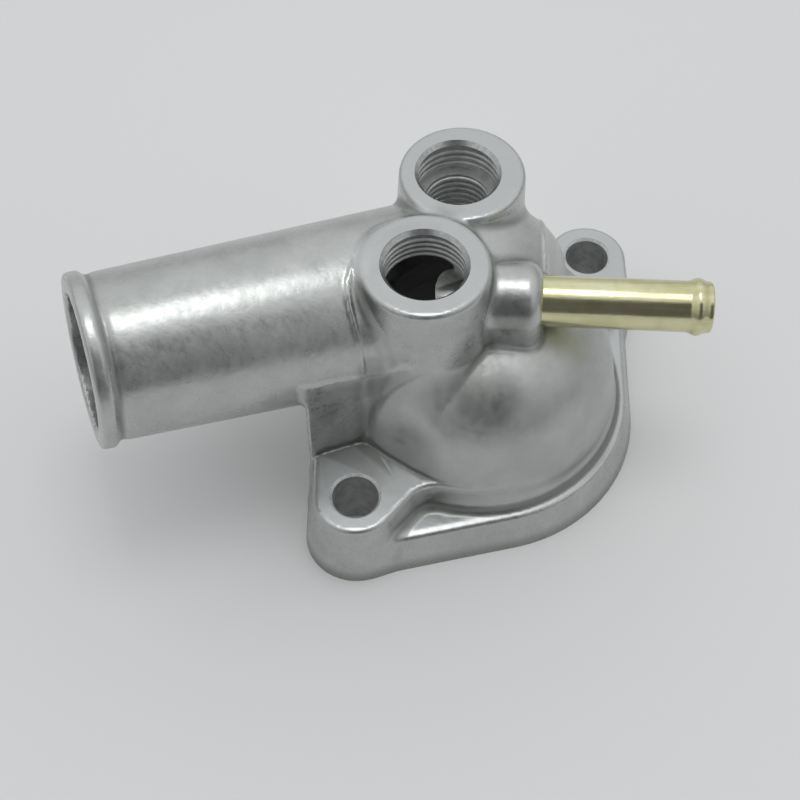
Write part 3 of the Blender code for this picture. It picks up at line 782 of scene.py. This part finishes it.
class Signal:
    """A socket of a material, with the shader's maths written as expressions."""

    def __init__(self, tree, socket):
        self.tree = tree
        self.socket = socket

    def node(self, kind, settings, inputs, output=0):
        """A node of any kind: its settings first, then its inputs by name or place."""
        made = self.tree.nodes.new(kind)
        for name, value in settings.items():
            setattr(made, name, value)
        for place, value in inputs.items():
            self.feed(made.inputs[place], value)
        return Signal(self.tree, made.outputs[output])

    def feed(self, place, value):
        if isinstance(value, Signal):
            self.tree.links.new(value.socket, place)
        else:
            place.default_value = value

    def maths(self, operation, *others):
        return self.node("ShaderNodeMath", {"operation": operation}, dict(enumerate((self, *others))))

    def __add__(self, other):
        return self.maths("ADD", other)

    def __mul__(self, other):
        return self.maths("MULTIPLY", other)

    def __sub__(self, other):
        return self.maths("SUBTRACT", other)

    def __truediv__(self, other):
        return self.maths("DIVIDE", other)

    def __pow__(self, other):
        return self.maths("POWER", other)

    def __neg__(self):
        return self * -1

    def __rsub__(self, other):
        return -self + other

    def __rtruediv__(self, other):
        return self ** -1 * other

    __radd__ = __add__
    __rmul__ = __mul__

    def smooth(self, low, high):
        """0 below the low value, 1 above the high one, and eased between them."""
        settings = {"interpolation_type": "SMOOTHSTEP"}
        return self.node("ShaderNodeMapRange", settings, {"Value": self, "From Min": low, "From Max": high})

    def held(self, low=0.0, high=1.0):
        return self.maths("MAXIMUM", low).maths("MINIMUM", high)

    def blend(self, first, second):
        """A colour between two, by this value."""
        settings = {"data_type": "RGBA"}
        return self.node("ShaderNodeMix", settings, {0: self, 6: first, 7: second}, 2)


class Finish:
    """A material, with what its surface is drawn from: places on the piece, noise and marks."""

    def __init__(self, name):
        self.material = bpy.data.materials.new(name)
        self.material.use_nodes = True
        self.tree = self.material.node_tree
        self.shader = self.tree.nodes["Principled BSDF"]
        self.start = Signal(self.tree, None)
        self.place = self.start.node("ShaderNodeTexCoord", {}, {}, "Object")

    def stretched(self, scale, turn=(0, 0, 0)):
        inputs = {"Vector": self.place, "Rotation": turn, "Scale": scale}
        return self.start.node("ShaderNodeMapping", {}, inputs)

    def noise(self, size, detail=2.0, roughness=0.5, place=None, seed=0.0):
        """Noise whose spots are about the given size in millimetres."""
        settings = {"noise_dimensions": "4D"}
        inputs = {"Vector": place or self.place, "W": seed, "Scale": 1 / (size * MM)}
        inputs |= {"Detail": detail, "Roughness": roughness}
        return self.start.node("ShaderNodeTexNoise", settings, inputs)

    def mark(self, name):
        return self.start.node("ShaderNodeAttribute", {"attribute_name": name}, {}, 2)

    def vector_maths(self, operation, first, others=(), output=0):
        inputs = dict(enumerate((first, *others)))
        return self.start.node("ShaderNodeVectorMath", {"operation": operation}, inputs, output)

    def distance_from(self, spot):
        centre = tuple(v * MM for v in spot)
        return self.vector_maths("DISTANCE", self.place, [centre], "Value") / MM

    def height(self):
        """Millimetres above the gasket face."""
        return self.start.node("ShaderNodeSeparateXYZ", {}, {0: self.place}, 2) / MM

    def distance_from_dome_axis(self):
        flat = self.vector_maths("MULTIPLY", self.place, [(1, 1, 0)])
        return self.vector_maths("LENGTH", flat, output="Value") / MM

    def set(self, **values):
        for name, value in values.items():
            self.start.feed(self.shader.inputs[name.replace("_", " ")], value)

    def bumped(self, height, strength, distance):
        inputs = {"Strength": strength, "Distance": distance * MM, "Height": height}
        self.set(Normal=self.start.node("ShaderNodeBump", {}, inputs))


def cast_aluminium():
    """Die-cast aluminium: satin, with cloudy patches and fine pits, rougher and with painted shade in
    corners, painted shade and painted reflection in patches, and bright on edges.
    """
    finish = Finish("cast_aluminium")
    height = finish.height()
    from_axis = finish.distance_from_dome_axis()
    on_dome = (40 - height).smooth(0, 3) * (29.5 - from_axis).smooth(0, 1.5)
    # Painted shade over the lowest few millimetres, where the casting meets the floor
    low = (3.4 - height).smooth(0, 3)
    ragged = finish.noise(4.0, 3.0, 0.6, seed=13.0)
    # Painted shade and painted reflection, in the patches listed at the top
    tone_and_shade_patches = 0.0
    for middle, reach, strength in PAINTED_SHADE_PATCHES:
        near = 1 - finish.distance_from(middle) / reach + (ragged - 0.5) * 0.3
        tone_and_shade_patches = (near.smooth(0.0, 0.5) * strength).maths("MAXIMUM", tone_and_shade_patches)
    flat = finish.mark("flat").held()
    edge = finish.mark("bend_fine").smooth(0.35, 1.8)
    # Painted shade in concave corners; the same mark also makes the corners rougher
    corner = (-finish.mark("bend_broad")).smooth(0.05, 1.1)
    cloud = finish.noise(9.0, 4.0, 0.55, seed=1.0)
    patch = finish.noise(3.2, 5.0, 0.6, seed=4.0)
    soft_patch = finish.noise(3.2, 1.5, 0.5, seed=4.0)
    grain = finish.noise(0.5, 2.0, 0.6, seed=7.0)
    pits = finish.noise(1.3, 1.5, 0.5, seed=9.0)
    tone = cloud.smooth(0.35, 0.65) * 0.5 + patch.smooth(0.35, 0.65) * 0.3 + pits * 0.2
    cast = tone.held().blend((0.45, 0.465, 0.445, 1), (0.56, 0.575, 0.565, 1))
    milled = (flat * 0.8).blend(cast, (grain * 0.9).blend((0.47, 0.485, 0.485, 1), (0.56, 0.575, 0.58, 1)))
    # Where the painted corner shade is left out
    unshaded = (1 - finish.distance_from(UNSHADED_PATCH) / UNSHADED_PATCH_REACH).smooth(0.0, 0.4)
    # How strongly painted shade darkens the colour: in corners, near the floor and in the patches
    painted_shade_amount = (corner * 0.7 * (1 - unshaded)).maths("MAXIMUM", low * 0.6).maths("MAXIMUM", tone_and_shade_patches)
    shaded_colour = painted_shade_amount.blend(milled, (0.20, 0.205, 0.19, 1))
    worn = (edge * 0.5).blend(shaded_colour, (0.68, 0.70, 0.71, 1))
    skin = 1 - flat * 0.7
    mottled = skin * ((patch - 0.5) * 0.3 + (pits - 0.5) * 0.25)
    rough = 0.30 + mottled - edge * 0.05 + corner * 0.1 + on_dome * 0.14
    finish.set(Base_Color=worn, Roughness=rough.held(0.17, 0.6), Metallic=0.88)
    finish.bumped((grain * 0.07 + pits * 0.5 + soft_patch * 0.8) * skin, 1.0, 0.08)
    return finish.material


def cut_aluminium():
    """Bored and threaded walls: cleaner than the cast skin, with a fine grain from the tool."""
    finish = Finish("cut_aluminium")
    tone_and_shade_patches = finish.noise(2.0, 3.0, 0.6, seed=2.0)
    fine = finish.noise(0.5, 3.0, 0.65, seed=5.0)
    colour = tone_and_shade_patches.smooth(0.3, 0.7).blend((0.52, 0.53, 0.51, 1), (0.70, 0.71, 0.71, 1))
    finish.set(Base_Color=colour, Roughness=(0.34 + fine * 0.2).held(), Metallic=0.7)
    finish.bumped(fine, 1.0, 0.06)
    return finish.material


def turned_aluminium():
    """The smooth turned chamfer at a port's mouth, which shows dark where it looks at the dark side."""
    finish = Finish("turned_aluminium")
    fine = finish.noise(0.8, 3.0, 0.6, seed=11.0)
    colour = fine.smooth(0.3, 0.7).blend((0.50, 0.51, 0.50, 1), (0.68, 0.69, 0.69, 1))
    finish.set(Base_Color=colour, Roughness=(0.24 + fine * 0.1).held(), Metallic=1.0)
    finish.bumped(fine, 0.3, 0.02)
    return finish.material


def bright_edge():
    """The narrow chamfer of a hole, which catches light from all round."""
    finish = Finish("bright_edge")
    fine = finish.noise(0.6, 2.0, 0.6, seed=8.0)
    colour = fine.smooth(0.3, 0.7).blend((0.66, 0.68, 0.68, 1), (0.86, 0.88, 0.89, 1))
    finish.set(Base_Color=colour, Roughness=(0.42 + fine * 0.16).held(), Metallic=0.6)
    finish.bumped(fine, 0.5, 0.05)
    return finish.material


def yellow_plate():
    """Steel plated with zinc under a thin yellow skin, streaked along the tube."""
    finish = Finish("yellow_plated_steel")
    streak = finish.noise(1.0, 3.0, 0.6, finish.stretched((0.06, 1, 1), (0, 0, NIPPLE_TURN)), 1.0)
    cloud = finish.noise(5.0, 3.0, 0.6, seed=3.0)
    fine = finish.noise(0.5, 3.0, 0.6, finish.stretched((0.15, 1, 1), (0, 0, NIPPLE_TURN)), 6.0)
    tone = (streak * 0.6 + cloud * 0.5).smooth(0.35, 0.75)
    colour = tone.blend((0.58, 0.56, 0.31, 1), (0.76, 0.75, 0.50, 1))
    finish.set(Base_Color=colour, Roughness=(0.13 + fine * 0.14).held(), Metallic=1.0)
    finish.bumped(fine, 0.3, 0.05)
    return finish.material


# Camera, floor and light

EYE_ELEVATION = math.radians(56.58)
EYE_DISTANCE = 0.28224
EYE_AIM = Vector((-0.01569, -0.01147, 0.022))
EYE_LENS = 65.25


def camera():
    data = bpy.data.cameras.new("camera")
    data.lens = EYE_LENS
    data.sensor_width = 36
    data.clip_start = 0.01
    eye = bpy.data.objects.new("camera", data)
    back = Vector((0, -math.cos(EYE_ELEVATION), math.sin(EYE_ELEVATION)))
    eye.location = EYE_AIM + back * EYE_DISTANCE
    eye.rotation_euler = (math.pi / 2 - EYE_ELEVATION, 0, 0)
    bpy.context.scene.collection.objects.link(eye)
    bpy.context.scene.camera = eye


def lamp(name, place, energy, width, depth):
    data = bpy.data.lights.new(name, "AREA")
    data.shape = "RECTANGLE"
    data.energy, data.size, data.size_y = energy, width, depth
    made = bpy.data.objects.new(name, data)
    made.location = place
    made.rotation_euler = (Vector((0, 0, 0.02)) - Vector(place)).to_track_quat("-Z", "Y").to_euler()
    bpy.context.scene.collection.objects.link(made)


def stage():
    mesh = bpy.data.meshes.new("floor")
    shape = bmesh.new()
    bmesh.ops.create_grid(shape, x_segments=1, y_segments=1, size=3)
    shape.to_mesh(mesh)
    shape.free()
    floor = new_piece("floor", mesh)
    pale = Finish("floor")
    pale.set(Base_Color=(0.84, 0.84, 0.84, 1), Roughness=0.9)
    floor.data.materials.append(pale.material)
    lamp("softbox", (0.0, 0.05, 0.58), 0.34, 0.20, 0.20)
    world = bpy.context.scene.world or bpy.data.worlds.new("world")
    bpy.context.scene.world = world
    world.use_nodes = True
    tree = world.node_tree
    start = Signal(tree, None)
    outwards = start.node("ShaderNodeTexCoord", {}, {}, "Generated")
    sideways, back, height = [
        start.node("ShaderNodeSeparateXYZ", {}, {0: outwards}, part) for part in ("X", "Y", "Z")
    ]
    sky = (height + back * 0.25).smooth(-0.25, 0.95).blend((0.22, 0.225, 0.23, 1), (0.88, 0.89, 0.90, 1))
    dark_front = (1 - (sideways - 0.08).maths("ABSOLUTE").smooth(0.2, 0.55)) * (-back).smooth(0.26, 0.46)
    sky = dark_front.blend(sky, (0.12, 0.12, 0.125, 1))
    seen = start.node("ShaderNodeLightPath", {}, {}, "Is Camera Ray").blend(sky, (0.62, 0.625, 0.63, 1))
    start.feed(tree.nodes["Background"].inputs["Color"], seen)
    bpy.context.scene.view_settings.view_transform = "Standard"


camera()
stage()
aluminium, cut_metal, turned_metal = cast_aluminium(), cut_aluminium(), turned_aluminium()
edge_metal, plate = bright_edge(), yellow_plate()
body = casting_body()
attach(body, "root")
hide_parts("housing_casting")
front_depth = FRONT_THREAD_DEPTH - FIRST_ROOT_DEPTH - FRONT_THREAD_PITCH
rear_depth = REAR_THREAD_DEPTH - FIRST_ROOT_DEPTH - REAR_THREAD_PITCH + REAR_THREAD_RUNOUT
ridges = [
    thread_ridge(
        "front_thread", FRONT_PORT, FRONT_PORT_HEIGHT - FIRST_ROOT_DEPTH - FRONT_THREAD_PITCH / 2,
        front_depth, FRONT_THREAD_PITCH, THREAD_RADIUS, THREAD_CREST_RADIUS, cut_metal,
    ),
    thread_ridge(
        "rear_thread", REAR_PORT, REAR_PORT_HEIGHT - FIRST_ROOT_DEPTH - REAR_THREAD_PITCH / 2,
        rear_depth, REAR_THREAD_PITCH, THREAD_RADIUS, THREAD_CREST_RADIUS + REAR_CREST_WEAR, cut_metal,
    ),
    thread_ridge(
        "rear_drill_marks", REAR_PORT, REAR_PORT_HEIGHT - REAR_THREAD_DEPTH - REAR_DRILL_MARKS_START,
        REAR_DRILL_MARKS_DEPTH, REAR_THREAD_PITCH, REAR_DRILL_RADIUS,
        REAR_DRILL_RADIUS - REAR_DRILL_MARKS_HEIGHT, cut_metal,
    ),
]
for piece in ridges:
    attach(piece, "root")
tube = new_piece("nipple_tube", ring_mesh("nipple_tube", hose_tube(), NIPPLE_START, NIPPLE_AXIS, 96))
tube.data.materials.append(plate)
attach(tube, "root")
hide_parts("hose_nipple")
